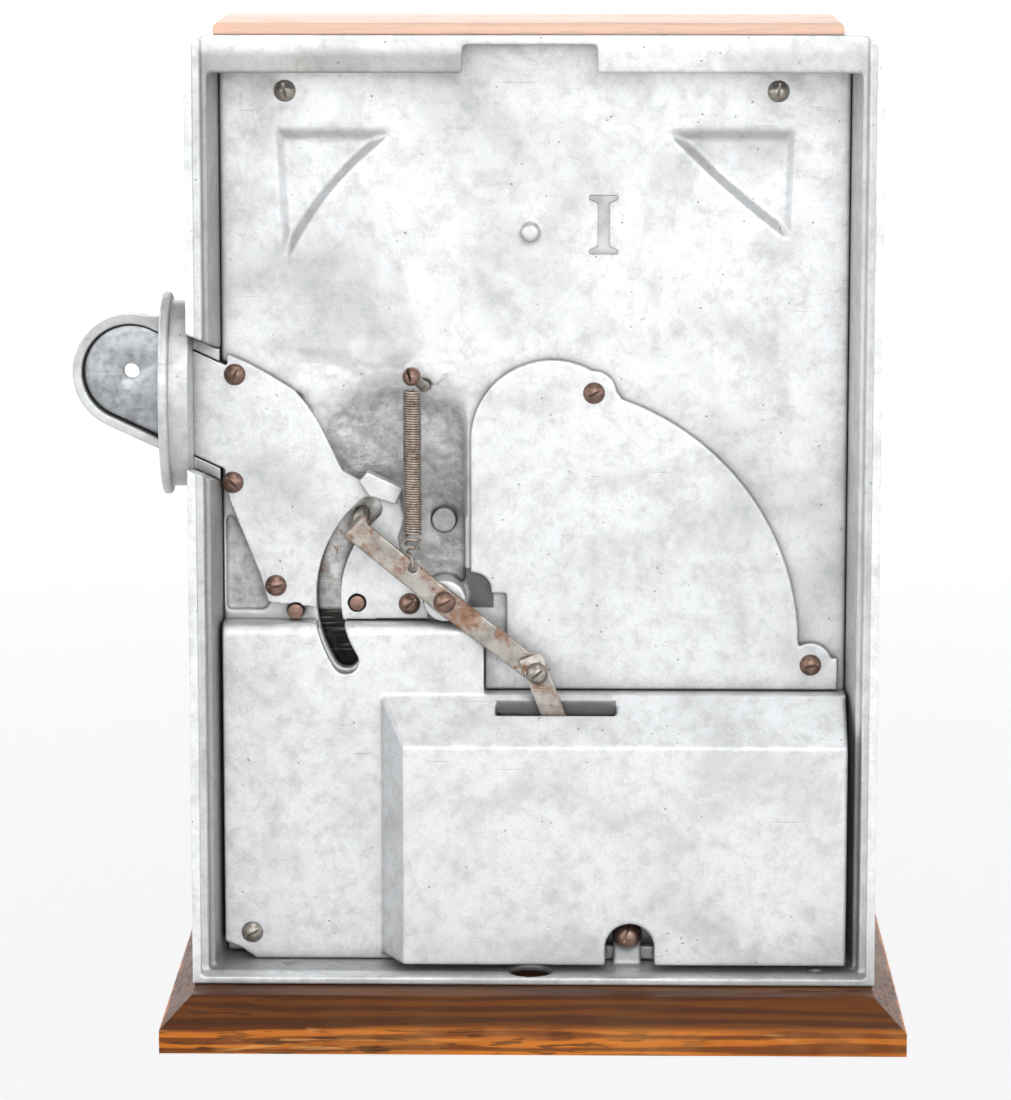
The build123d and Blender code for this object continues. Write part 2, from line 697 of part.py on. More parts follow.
def make_release():
    elbow_x = half - elbow_in
    pin_z = base_height + foot_up + foot_pin_up
    y = link_y - release_gap
    plate = panel_rect(elbow_x - release_right, elbow_x + release_left, pin_z - 24, pin_z + 6.5)
    window = panel_rect(elbow_x - 14, elbow_x + 3.6, pin_z - 3.4, pin_z + 3.4)
    return slab(plate - window, y, y + release_thickness)


def make_guides():
    elbow_x = half - elbow_in
    low = base_height + 28
    high = crest_z - box_slope_drop - 3
    y = link_y - release_gap
    rails = []
    right = elbow_x - release_right - run_gap
    left = elbow_x + release_left + run_gap
    for side, edge in ((-1, right), (1, left)):
        rail = block(edge, edge + side * rail_width, panel_y, y + 3, low, high)
        rails.append(rail)
    return rails


# ---------------------------------------------------------------- return spring
def make_spring():
    top = base_height + spring_head_up - 6
    bottom = base_height + spring_foot_up + 8
    y = strap_y + strap_thickness / 2
    coil = Pos(spring_x, y, (top + bottom) / 2) * Cylinder(spring_radius, top - bottom)
    hook_x, hook_z = hook_place()
    tail_y = strap_y + strap_thickness + seat_gap + spring_wire / 2
    wire = spring_wire / 2
    tail = block(hook_x - wire, hook_x + wire, tail_y - wire, tail_y + wire, hook_z - wire, bottom + 1)
    tail += peg(hook_x, hook_z, wire - 0.1, strap_y + 0.2, tail_y)
    link = block(hook_x - wire, spring_x + 2, y - wire, tail_y + wire, bottom - 0.2, bottom + 1)
    return coil + tail + link


def make_spring_post():
    foot_x, foot_z = post_foot()
    head_z = base_height + spring_head_up
    foot = Vector(foot_x, panel_front + 2, foot_z)
    knee = Vector(foot_x, panel_y + 3.6, foot_z)
    head = Vector(spring_x, strap_y + strap_thickness + 1, head_z)
    post = peg(foot_x, foot_z, 2.5, foot.Y, knee.Y)
    way = head - knee
    post += Plane(origin=knee, z_dir=way) * Pos(0, 0, way.length / 2) * Cylinder(2.1, way.length)
    post += Pos(knee.X, knee.Y, knee.Z) * Sphere(2.5)
    return post - Plane(origin=head, z_dir=way) * Pos(0, 0, -0.4) * Cylinder(1.25, 0.8)


def make_spring_screw():
    head_z = base_height + spring_head_up
    y = strap_y + strap_thickness + 1
    foot_x, foot_z = post_foot()
    way = Vector(spring_x, y, head_z) - Vector(foot_x, panel_y + 3.6, foot_z)
    return Plane(origin=Vector(spring_x, y, head_z), z_dir=way) * screw(4.1, 4.0, 1.2, 0.6, 15)


# ---------------------------------------------------------------- front of the machine
def window_outline(grow=0.0):
    """Round-topped window with a flat sill."""
    sill = window_z - window_sill - grow
    return disc(0, window_z, window_radius + grow) & panel_rect(-half, half, sill, top_z)


def make_front():
    face = panel_rect(-half, half, base_height, top_z)
    corners = [v for v in face.vertices() if v.Y > base_height + 1]
    face = fillet(corners, case_corner)
    front = slab(face, front_y - front_plate, front_y)
    front = chamfer(front.faces().sort_by(Axis.Y)[0].outer_wire().edges(), 1.5)
    front += slab(window_outline(bezel_wall), front_y - front_plate - 2.5, glass_y - seat_gap)
    front -= slab(window_outline(), front_y - front_plate - 3, glass_y)
    front -= slab(lever_slot(0.3), front_y - front_plate - 1, front_y)
    front -= slab(payout_outline(), front_y - front_plate - 1, front_y)
    card = card_outline()
    front -= slab(card, front_y - front_plate - 1, front_y - front_plate + 1.2)
    for x, z in front_screw_places():
        front -= peg(x, z, shank_radius + pin_gap, front_y - front_plate, front_y)
    return front


def payout_outline():
    low = base_height + 26
    return fillet(panel_rect(-34, 34, low, low + 34).vertices(), 8)


def card_outline(shrink=0.0):
    x, z = place(224, 102)
    return panel_rect(x - 44 + shrink, x + 44 - shrink, z - 26 + shrink, z + 26 - shrink)


def make_card_frame():
    y = front_y - front_plate
    return slab(card_outline(0.2) - card_outline(5), y - 1.2, y + 1.2 - 0.4)


def make_card():
    y = front_y - front_plate
    return slab(card_outline(0.6), y + 0.8, y + 1.2)


def make_glass():
    return slab(window_outline(bezel_wall - 0.6), glass_y, glass_y + glass_thickness)


def make_playfield():
    face = window_outline(bezel_wall + 6)
    face -= lever_slot()
    return slab(face, playfield_y, panel_front)


def make_track():
    ring = disc(0, window_z, window_radius + 3) - disc(0, window_z, window_radius)
    ring = ring & panel_rect(-half, half, window_z - window_sill, top_z)
    ring -= panel_rect(30, half, 0, window_z - window_sill + 22)
    return slab(ring, glass_y + glass_thickness, playfield_y)


def catch_places():
    return [(-60 + 24 * index, window_z - 18) for index in range(5)]


def make_catches():
    catches = []
    for x, z in catch_places():
        cup = disc(x, z, 9) - disc(x, z, 7.4)
        cup = cup & panel_rect(x - 10, x + 10, z - 10, z)
        catches.append(slab(cup, glass_y + glass_thickness + 0.4, playfield_y))
    return catches


def make_pins():
    pins = []
    for row, count in enumerate((5, 4, 3)):
        for index in range(count):
            x = (index - (count - 1) / 2) * 32 - 12
            z = window_z + 12 + 20 * row
            pins.append(peg(x, z, 1.3, glass_y + glass_thickness + 0.4, playfield_y))
    return pins


def make_tray():
    y1 = front_y - front_plate
    low = base_height
    half_width = tray_width / 2
    plan = Pos(0, y1 - tray_depth / 2) * Rectangle(tray_width, tray_depth)
    corners = [v for v in plan.vertices() if v.Y < y1 - 1]
    plan = fillet(corners, 20)
    body = Pos(0, 0, low) * extrude(plan, tray_height)
    bowl = Pos(0, y1 - tray_depth / 2 + tray_wall) * Rectangle(tray_width - 2 * tray_wall, tray_depth)
    corners = [v for v in bowl.vertices() if v.Y < y1 - 1]
    bowl = fillet(corners, 17)
    body -= Pos(0, 0, low + tray_wall) * extrude(bowl, tray_height)
    body &= block(-half_width, half_width, y1 - tray_depth, y1, 0, low + tray_height)
    for x in (-30, 30):
        body -= Pos(x, y1 - 20, low) * Cylinder(shank_radius + pin_gap, 4 * tray_wall)
    return body


def make_tray_screws():
    y1 = front_y - front_plate
    shape = screw(head_radius - 0.7, 2.2, shank_radius, tray_wall - 0.2, 50)
    return [Pos(x, y1 - 20, base_height + tray_wall) * shape for x in (-30, 30)]


def make_top_board():
    board = block(-half + 16.4, half - 6.2 - 5, front_y, rim_y - header_setback - 2, top_z, top_z + 5)
    return chamfer(board.faces().sort_by(Axis.Z)[-1].edges(), 1.2)


# ---------------------------------------------------------------- write every piece
save("oak_base", make_base())
save("base_screws", *make_base_screws())
save("case_casting", make_case())
save("oak_top_board", make_top_board())
save("mechanism_panel", make_panel())
save("panel_screws", *[rear_screw(*place(inward, up + rise_z), panel_y, 16, turn)
                       for (inward, up), turn in zip(panel_screws, (100, 80))])
save("mechanism_cover", make_mech_cover())
save("mechanism_cover_screws", *[rear_screw(*place(inward, up), cover_y, 10, turn)
                                 for inward, up, turn in cover_screws])
save("fan_cover", make_fan_cover())
save("fan_cover_screws", *[rear_screw(*place(inward, up), cover_y, 10, turn)
                           for inward, up, turn in fan_screws])
for number, (inward, up, radius) in enumerate(pin_places, start=1):
    save(f"locating_pin_{number}", peg(*place(inward, up), radius, pin_y, cover_y + 0.6))
save("hole_plug", peg(*plug_place(), 5.2, panel_front, channel_y + 1.2))
save("lower_housing", make_housing())
save("housing_screw", rear_screw(*place(*housing_screw), housing_y, 18, 25))
save("hold_down_screw", holddown_seat() * screw(holddown_head, 3.6, holddown_shank, 9, 75))
save("coin_cup", make_cup())
save("coin_cup_screws", *make_cup_screws())
save("coin_slide", make_slide())
save("lever_strap", make_strap())
save("thumb_rod", make_thumb_rod())
save("thumb_knob", make_knob())
save("slot_shield", make_shield())
save("pivot_screw", make_pivot_screw())
save("drop_link", make_link())
save("link_screw", make_link_screw())
save("release_plate", make_release())
save("release_guides", *make_guides())
save("return_spring", make_spring())
save("spring_post", make_spring_post())
save("spring_screw", make_spring_screw())
save("front_casting", make_front())
save("front_screws", *[front_screw(x, z, front_y - front_plate, 18, 30)
                       for x, z in front_screw_places()])
save("window_glass", make_glass())
save("playfield", make_playfield())
save("coin_track", make_track())
save("catch_cups", *make_catches())
save("playfield_pins", *make_pins())
save("award_card", make_card())
save("award_card_frame", make_card_frame())
save("payout_tray", make_tray())
save("payout_tray_screws", *make_tray_screws())
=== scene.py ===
"""Looks of the counter-top penny game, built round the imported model.

Every piece stands in the frame's own axes, in metres: the player is at -Y, the open back faces +Y.
"""
import json
import math

import bmesh
import bpy
from mathutils import Matrix, Vector, noise


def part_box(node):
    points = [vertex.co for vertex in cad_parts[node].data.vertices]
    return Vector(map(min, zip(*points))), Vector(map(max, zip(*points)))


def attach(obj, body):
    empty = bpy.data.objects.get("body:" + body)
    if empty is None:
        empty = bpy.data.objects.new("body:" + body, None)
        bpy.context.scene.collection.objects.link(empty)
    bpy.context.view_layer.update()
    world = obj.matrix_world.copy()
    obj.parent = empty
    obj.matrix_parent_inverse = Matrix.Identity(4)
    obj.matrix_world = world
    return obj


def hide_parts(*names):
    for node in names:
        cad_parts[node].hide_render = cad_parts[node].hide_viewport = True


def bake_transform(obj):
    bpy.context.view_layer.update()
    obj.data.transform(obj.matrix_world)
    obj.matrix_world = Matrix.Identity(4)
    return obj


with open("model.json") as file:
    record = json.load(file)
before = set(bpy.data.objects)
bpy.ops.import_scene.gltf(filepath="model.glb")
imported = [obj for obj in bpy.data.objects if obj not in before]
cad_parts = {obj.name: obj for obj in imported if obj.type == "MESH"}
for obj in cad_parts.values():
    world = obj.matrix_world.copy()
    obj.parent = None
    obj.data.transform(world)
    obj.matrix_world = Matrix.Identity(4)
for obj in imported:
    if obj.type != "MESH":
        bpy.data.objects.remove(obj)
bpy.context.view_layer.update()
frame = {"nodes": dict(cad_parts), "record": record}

bl_info = {
    "name": "Penny game looks",
    "version": (1, 0, 0),
    "blender": (4, 5, 0),
    "location": "View3D > Sidebar > Penny game",
    "description": "Castings, oak, screws, spring and studio of a counter-top penny game",
    "category": "Object",
}

MM = 0.001
BODY_OF = {node: body for body, nodes in frame["record"]["behaviour"]["bodies"].items() for node in nodes}
PANEL_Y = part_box("mechanism_cover")[0].y          # rear face of the mechanism panel
POCKET_SIDES = (0.029, 0.103)                     # the rough pocket in the panel, along X
POCKET_TOP = 0.292                                # height of its upper edge
POCKET_EDGE = 0.218                               # height above which its edge is rubbed soft
POCKET_FOOT = 0.190                               # height above which it is wavy
SWEEP_GLOW = 0.92                                 # light the paper sweep gives off by itself
WORLD_LIGHT = 0.45
LENS_SHIFT = -0.13
CAMERA_PLACE = (-0.0168, 1.822, 0.541)
CAMERA_DOWN = 8.71                                # degrees below level
CAMERA_TURN = 0.936                               # degrees off the middle line
FOCAL_SHARE = 3.838182                            # focal length over the height of the frame
SENSOR = 36.0
MARK = Vector((-0.0294, PANEL_Y, 0.3454))         # middle of the cast mark
FINGER_HOLE = Vector((0.1732, PANEL_Y, 0.2815))   # centre of the coin slide's hole
FINGER_RADIUS = 3.4 * MM


# ---------------------------------------------------------------- shader maths
class Value:
    """A socket of a shader graph that Python's operators work on."""

    def __init__(self, graph, socket):
        self.graph = graph
        self.socket = socket

    def _math(self, operation, *others):
        node = self.graph.tree.nodes.new("ShaderNodeMath")
        node.operation = operation
        for slot, item in zip(node.inputs, others):
            self.graph.feed(slot, item)
        return Value(self.graph, node.outputs[0])

    def __add__(self, other):
        return self._math("ADD", self, other)

    __radd__ = __add__

    def __mul__(self, other):
        return self._math("MULTIPLY", self, other)

    __rmul__ = __mul__

    def __sub__(self, other):
        return self._math("SUBTRACT", self, other)

    def __rsub__(self, other):
        return self._math("SUBTRACT", other, self)

    def __truediv__(self, other):
        return self._math("DIVIDE", self, other)

    def size(self):
        return self._math("ABSOLUTE", self)

    def fraction(self):
        return self._math("FRACT", self)

    def least(self, other):
        return self._math("MINIMUM", self, other)

    def most(self, other):
        return self._math("MAXIMUM", self, other)

    def ramp(self, low, high, to_low=0.0, to_high=1.0):
        """Smooth step: to_low at low, to_high at high."""
        return self.graph.node(
            "ShaderNodeMapRange", {"interpolation_type": "SMOOTHSTEP", "clamp": True},
            {"Value": self, "From Min": low, "From Max": high, "To Min": to_low, "To Max": to_high})


class Graph:
    """The node graph of one material."""

    def __init__(self, name):
        self.material = bpy.data.materials.new(name)
        self.material.use_nodes = True
        self.tree = self.material.node_tree
        self.tree.nodes.clear()
        self.place = self.node("ShaderNodeTexCoord", output="Object")

    def feed(self, slot, item):
        if isinstance(item, Value):
            self.tree.links.new(item.socket, slot)
        elif slot.type == "RGBA":
            slot.default_value = (*item[:3], 1.0)
        else:
            slot.default_value = item

    def node(self, kind, settings=None, inputs=None, output=0):
        """One node: its settings first, then the values or links of its sockets."""
        node = self.tree.nodes.new(kind)
        for key, item in (settings or {}).items():
            setattr(node, key, item)
        for key, item in (inputs or {}).items():
            self.feed(node.inputs[key], item)
        return Value(self, node.outputs[output])

    def stretched(self, scale, turn=(0, 0, 0), shift=(0, 0, 0)):
        """The piece's own coordinates, scaled apart along each axis."""
        return self.node("ShaderNodeMapping", None,
                         {"Vector": self.place, "Scale": scale, "Rotation": turn, "Location": shift})

    def noise(self, scale, detail=3.0, rough=0.55, place=None, bend=0.0):
        return self.node("ShaderNodeTexNoise", None,
                         {"Vector": place or self.place, "Scale": scale, "Detail": detail,
                          "Roughness": rough, "Distortion": bend})

    def cells(self, scale):
        """Distance to the middle of the nearest cell, for pits and chips."""
        return self.node("ShaderNodeTexVoronoi", {"feature": "F1"},
                         {"Vector": self.place, "Scale": scale}, "Distance")

    def within(self, name, low, high, edge=0.0004):
        """1 between two places along an axis, 0 outside."""
        place = self.axis(name)
        return place.ramp(low - edge, low + edge) * (1 - place.ramp(high - edge, high + edge))

    def axis(self, name):
        return self.node("ShaderNodeSeparateXYZ", None, {"Vector": self.place}, name)

    def mix(self, factor, under, over):
        """Colours mixed by a factor."""
        node = self.tree.nodes.new("ShaderNodeMix")
        node.data_type = "RGBA"
        self.feed(node.inputs[0], factor)
        self.feed(node.inputs[6], under)
        self.feed(node.inputs[7], over)
        return Value(self, node.outputs[2])

    def shut_in(self, distance):
        """1 in open places, towards 0 in corners and along edges of what lies on the surface."""
        return self.node("ShaderNodeAmbientOcclusion", {"samples": 6}, {"Distance": distance}, "AO")

    def bump(self, height, depth, strength):
        return self.node("ShaderNodeBump", None, {"Height": height, "Distance": depth, "Strength": strength})

    def surface(self, **sockets):
        """The shader itself, with its sockets named in Python's way."""
        node = self.tree.nodes.new("ShaderNodeBsdfPrincipled")
        for key, item in sockets.items():
            self.feed(node.inputs[key.replace("_", " ")], item)
        out = self.tree.nodes.new("ShaderNodeOutputMaterial")
        self.tree.links.new(node.outputs[0], out.inputs[0])
        return self.material


# ---------------------------------------------------------------- sizes and colours
class CastingSettings(bpy.types.PropertyGroup):
    bright: bpy.props.FloatVectorProperty(
        name="Bright metal", description="Rubbed face of the castings", subtype="COLOR",
        default=(0.655, 0.668, 0.68))
    dull: bpy.props.FloatVectorProperty(
        name="Dull metal", description="Mottled patches of the castings", subtype="COLOR",
        default=(0.40, 0.408, 0.415))
    stain: bpy.props.FloatVectorProperty(
        name="Stain", description="Old oil on the metal", subtype="COLOR",
        default=(0.52, 0.47, 0.40))
    sand: bpy.props.FloatProperty(
        name="Sand grain", description="Depth of the sand-cast grain", subtype="DISTANCE", unit="LENGTH",
        default=0.00035, min=0.0, max=0.002)
    voxel: bpy.props.FloatProperty(
        name="Mesh grain", description="Spacing of the castings' mesh", subtype="DISTANCE", unit="LENGTH",
        default=0.0009, min=0.0004, max=0.004)


class WoodSettings(bpy.types.PropertyGroup):
    light: bpy.props.FloatVectorProperty(
        name="Early wood", description="Light part of the oak's rings", subtype="COLOR",
        default=(0.45, 0.130, 0.012))
    dark: bpy.props.FloatVectorProperty(
        name="Late wood", description="Dark part of the oak's rings", subtype="COLOR",
        default=(0.14, 0.036, 0.005))
    edge: bpy.props.FloatProperty(
        name="Edge round", description="Rounding of the boards' edges", subtype="DISTANCE", unit="LENGTH",
        default=0.0012, min=0.0, max=0.005)


class SpringSettings(bpy.types.PropertyGroup):
    coils: bpy.props.IntProperty(
        name="Coils", description="Close coils of the return spring", default=56, min=8)
    wire: bpy.props.FloatProperty(
        name="Wire", description="Radius of the spring's wire", subtype="DISTANCE", unit="LENGTH",
        default=0.00056, min=0.0002, max=0.002)


class StudioSettings(bpy.types.PropertyGroup):
    floor: bpy.props.FloatVectorProperty(
        name="Floor", description="Colour of the paper sweep", subtype="COLOR",
        default=(0.93, 0.93, 0.93))
    strength: bpy.props.FloatProperty(
        name="Light", description="Strength of the soft boxes", subtype="POWER", default=8.0, min=0.0)


def settings(name):
    return getattr(bpy.context.scene, name)


# ---------------------------------------------------------------- materials
def cast_metal(name, tone=1.0, warm=0.0, painted_shade=0.6, sandy=0.0, pocket=False, painted_wall_shade=False, shaded=()):
    """Sand-cast aluminium: mottled, pitted and rubbed bright, with painted shade in its corners and along the
    gaps beside parts lying on it.
    """
    cast = settings("casting")
    g = Graph(name)
    bright = tuple(c * tone for c in cast.bright)
    dull = tuple(c * tone for c in cast.dull)
    clouds = g.noise(9, 4, 0.6, bend=0.7).ramp(0.45, 0.68)
    patches = g.noise(28, 5, 0.65, bend=0.6).ramp(0.44, 0.70)
    mottle = g.noise(140, 4, 0.7).ramp(0.42, 0.72)
    speckle = g.noise(1100, 2, 0.6).ramp(0.50, 0.70)
    colour = g.mix(clouds * 0.70, bright, dull)
    colour = g.mix(patches * 0.45, colour, tuple(c * 0.90 for c in dull))
    colour = g.mix(mottle * 0.35, colour, tuple(c * 0.70 for c in dull))
    stains = g.noise(22, 6, 0.72, bend=1.2).ramp(0.55, 0.72) * g.noise(300, 3, 0.6).ramp(0.35, 0.65)
    colour = g.mix(stains * (0.34 + warm), colour, cast.stain)
    colour = g.mix(speckle * 0.22, colour, (0.34, 0.34, 0.34))
    pits = 1 - g.cells(230).ramp(0.03, 0.15)
    pits = pits * g.noise(60, 2, 0.5).ramp(0.55, 0.62)
    colour = g.mix(pits * 0.65, colour, (0.12, 0.11, 0.10))
    streak = g.stretched((30, 1, 620), (0, 0.5, 0))
    other = g.stretched((24, 1, 660), (0, -0.9, 0), (3, 0, 1))
    scratches = g.noise(1.0, 2, 0.6, streak).ramp(0.69, 0.75)
    scratches = scratches.most(g.noise(1.0, 2, 0.6, other).ramp(0.70, 0.76))
    colour = g.mix(scratches * 0.25, colour, tuple(c * 0.50 for c in dull))
    # painted shade: ambient occlusion darkens corners and recesses within 9 mm, and the narrow gaps beside
    # parts lying on the surface within 1.8 mm
    corner = 1 - g.shut_in(0.009).ramp(0.40, 0.92)
    gap_shade = 1 - g.shut_in(0.0018).ramp(0.35, 0.85)
    colour = g.mix(corner * painted_shade, colour, (0.15, 0.14, 0.125))
    colour = g.mix(gap_shade * 0.55, colour, (0.06, 0.055, 0.048))
    sand = g.noise(640, 4, 0.7)
    coarse = g.noise(250, 3, 0.6)
    rough = 0.40 + mottle * 0.10 + clouds * 0.08 + stains * 0.15
    if painted_wall_shade:
        # painted shade: the case's inner side walls are darkened, the +X wall more than the -X wall, as if
        # light came from the +X side
        side = g.axis("X").size()
        wall_shade = (1 - side.ramp(0.1402, 0.1412)) * (1 - g.axis("Y").ramp(0.0600, 0.0640))
        wall_shade = wall_shade * (1 - g.axis("Z").ramp(0.418, 0.424))
        colour = g.mix(wall_shade * g.axis("X").ramp(-0.01, 0.01, 0.25, 0.62), colour, (0.17, 0.16, 0.145))
    # painted shade: inside each given box the colour goes nearly black, for the dark inside a slot or gap
    for low, high in shaded:
        inside = g.within("X", low.x, high.x) * g.within("Y", low.y, high.y) * g.within("Z", low.z, high.z)
        colour = g.mix(inside * 0.86, colour, (0.05, 0.047, 0.043))
    zone = sandy
    if pocket:
        zone = 1 - g.axis("Y").ramp(PANEL_Y - 3.6 * MM, PANEL_Y - 0.7 * MM)
        zone = zone * (1 - g.axis("Z").ramp(POCKET_TOP - 2 * MM, POCKET_TOP + 4 * MM))
        # the pocket's colour darkens towards low X and low Z
        towards_low_corner = g.axis("X").ramp(0.085, 0.035, 0.42, 0.72) * g.axis("Z").ramp(0.275, 0.225, 0.55, 1.0)
        uneven = g.noise(55, 3, 0.6).ramp(0.3, 0.7, 0.6, 1.15)
        colour = g.mix(zone * (uneven * towards_low_corner), colour, (0.25, 0.245, 0.235))
    if pocket or sandy:
        grain = coarse.ramp(0.34, 0.62)
        colour = g.mix((1 - grain) * zone * 0.40, colour, (0.15, 0.14, 0.13))
        rough = rough + zone * 0.1
        height = sand * 0.5 + coarse * (zone * 3.0 + 0.35)
    else:
        height = sand * 0.5 + coarse * 0.35
    height = height - pits * 1.6 - scratches * 0.4
    normal = g.bump(height, cast.sand, strength=0.6)
    return g.surface(Base_Color=colour, Roughness=rough, Metallic=0.62, Normal=normal)


def oak(name, painted_light=0.0):
    """Varnished oak with open pores along the grain, X."""
    wood = settings("wood")
    g = Graph(name)
    long_way = (6, 60, 60)
    pore_way = (52, 520, 520)
    wander = g.noise(1.0, 4, 0.6, g.stretched(long_way), 0.8)
    rings = g.node("ShaderNodeTexWave", {"wave_type": "BANDS", "bands_direction": "Z"},
                   {"Vector": g.stretched((0.6, 5.5, 9.0)), "Scale": 7.0, "Distortion": 9.0, "Detail": 3.0,
                    "Detail Scale": 1.4}, 1)
    colour = g.mix(rings.ramp(0.2, 0.85), wood.light, wood.dark)
    colour = g.mix(wander.ramp(0.35, 0.75) * 0.6, colour, tuple(c * 0.62 for c in wood.dark))
    pores = g.noise(1.0, 2, 0.5, g.stretched(pore_way)).ramp(0.54, 0.60)
    pores = pores * g.noise(1.0, 2, 0.5, g.stretched(tuple(v * 0.5 for v in long_way))).ramp(0.35, 0.6)
    colour = g.mix(pores * 0.85, colour, (0.030, 0.014, 0.006))
    flame = g.noise(1.0, 3, 0.5, g.stretched((14, 90, 240)), 1.5).ramp(0.62, 0.74)
    colour = g.mix(flame * 0.35, colour, (0.72, 0.37, 0.12))
    colour = g.mix(g.noise(26, 3, 0.6).ramp(0.4, 0.7) * 0.25, colour, (0.50, 0.22, 0.06))
    # painted light: this copy is washed towards a pale tan, as the top board looks under strong light
    if painted_light:
        colour = g.mix(painted_light, colour, (0.72, 0.52, 0.42))
    # painted shade: above about 10 mm the base's bevel and top are darkened, as if shaded by the case; the
    # pale copy leaves it out
    shaded_top = g.axis("Z").ramp(0.0095, 0.0125)
    if not painted_light:
        colour = g.mix(shaded_top * 0.82, colour, (0.040, 0.013, 0.004))
    height = wander * 0.3 - pores
    return g.surface(Base_Color=colour, Roughness=0.42 + pores * 0.3 + wander * 0.1, Coat_Weight=0.05,
                     Coat_Roughness=0.3, Specular_IOR_Level=0.15, Normal=g.bump(height, 0.0003, strength=0.6))


def worn_steel(name, colour, rust=0.5, rough=0.40, metal=0.85, rust_colour=(0.32, 0.125, 0.045), scale=1.0,
               shaded_below=None):
    """Bare steel or plated metal with rust or tarnish in patches, painted shade in its corners, and painted
    shade below a height where the lever slot is dark.
    """
    g = Graph(name)
    cloud = g.noise(90 * scale, 5, 0.65, bend=0.8)
    fine = g.noise(700 * scale, 3, 0.6)
    patch = (cloud * 0.75 + fine * 0.25).ramp(0.62 - 0.22 * rust, 0.74 - 0.20 * rust)
    base = g.mix(g.noise(240 * scale, 3, 0.6).ramp(0.35, 0.7), colour, tuple(c * 0.62 for c in colour))
    base = g.mix(patch * 0.85, base, rust_colour)
    base = g.mix(patch * fine.ramp(0.5, 0.7) * 0.6, base, tuple(c * 0.35 for c in rust_colour))
    # painted shade: ambient occlusion darkens corners within 2 mm
    corner = 1 - g.shut_in(0.002).ramp(0.4, 0.95)
    base = g.mix(corner * 0.75, base, (0.035, 0.026, 0.02))
    # painted shade, not oil: below the given height and past X 60 mm the metal is darkened in clouds, where
    # the lever slot is dark
    if shaded_below:
        oil = (1 - g.axis("Z").ramp(shaded_below - 0.001, shaded_below + 0.001)) * g.axis("X").ramp(0.058, 0.062)
        base = g.mix(oil * cloud.ramp(0.2, 0.5, 0.8, 0.97), base, (0.018, 0.014, 0.012))
    lines = g.noise(1.0, 2, 0.6, g.stretched((60, 400, 900), (0, 0.72, 0))).ramp(0.56, 0.72)
    base = g.mix(lines * 0.25, base, tuple(min(1, c * 1.5) for c in colour))
    height = cloud * 0.4 + fine * 0.6 + patch * 0.7 - lines * 0.3
    return g.surface(Base_Color=base, Roughness=rough + patch * 0.35, Metallic=metal - patch * 0.55,
                     Normal=g.bump(height, 0.00009, strength=0.7))


def enamel(name, colour, rough=0.35):
    """Sprayed paint with a faint orange peel and chips."""
    g = Graph(name)
    chips = 1 - g.cells(160).ramp(0.02, 0.08)
    chips = chips * g.noise(40, 3, 0.6).ramp(0.55, 0.62)
    base = g.mix(g.noise(24, 4, 0.6).ramp(0.35, 0.7) * 0.4, colour, tuple(c * 0.7 for c in colour))
    base = g.mix(chips, base, (0.45, 0.44, 0.42))
    return g.surface(Base_Color=base, Roughness=rough + chips * 0.3, Coat_Weight=0.3,
                     Normal=g.bump(g.noise(500, 2, 0.5) - chips, 0.0001, strength=0.4))


def pane(name):
    """Old window glass with a little dust."""
    g = Graph(name)
    dust = g.noise(60, 5, 0.7).ramp(0.5, 0.8)
    return g.surface(Base_Color=g.mix(dust * 0.15, (0.96, 0.98, 0.98), (0.8, 0.78, 0.72)),
                     Roughness=0.03 + dust * 0.12, Alpha=0.16 + dust * 0.06, IOR=1.5)


def paper(name):
    """Blank award card: an aged ground with a printed border and plain bands."""
    low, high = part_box("award_card")
    g = Graph(name)
    x = (g.axis("X") - low.x) / (high.x - low.x)
    z = (g.axis("Z") - low.z) / (high.z - low.z)
    edge = x.least(1 - x).least(z.least(1 - z) * 0.6)
    border = edge.ramp(0.085, 0.09) * (1 - edge.ramp(0.10, 0.105))
    band = (z * 5.0 - 0.5).fraction()
    bars = band.ramp(0.40, 0.42) * (1 - band.ramp(0.60, 0.62)) * x.ramp(0.18, 0.19) * (1 - x.ramp(0.80, 0.81))
    bars = bars * z.ramp(0.16, 0.17) * (1 - z.ramp(0.82, 0.83))
    ground = g.mix(g.noise(60, 5, 0.7).ramp(0.4, 0.75) * 0.5, (0.80, 0.71, 0.52), (0.62, 0.50, 0.32))
    ink = g.mix(border, ground, (0.42, 0.06, 0.04))
    return g.surface(Base_Color=g.mix(bars * 0.8, ink, (0.10, 0.16, 0.14)), Roughness=0.75,
                     Normal=g.bump(g.noise(1500, 2, 0.6), 0.00005, strength=0.4))


FINISHES = {}


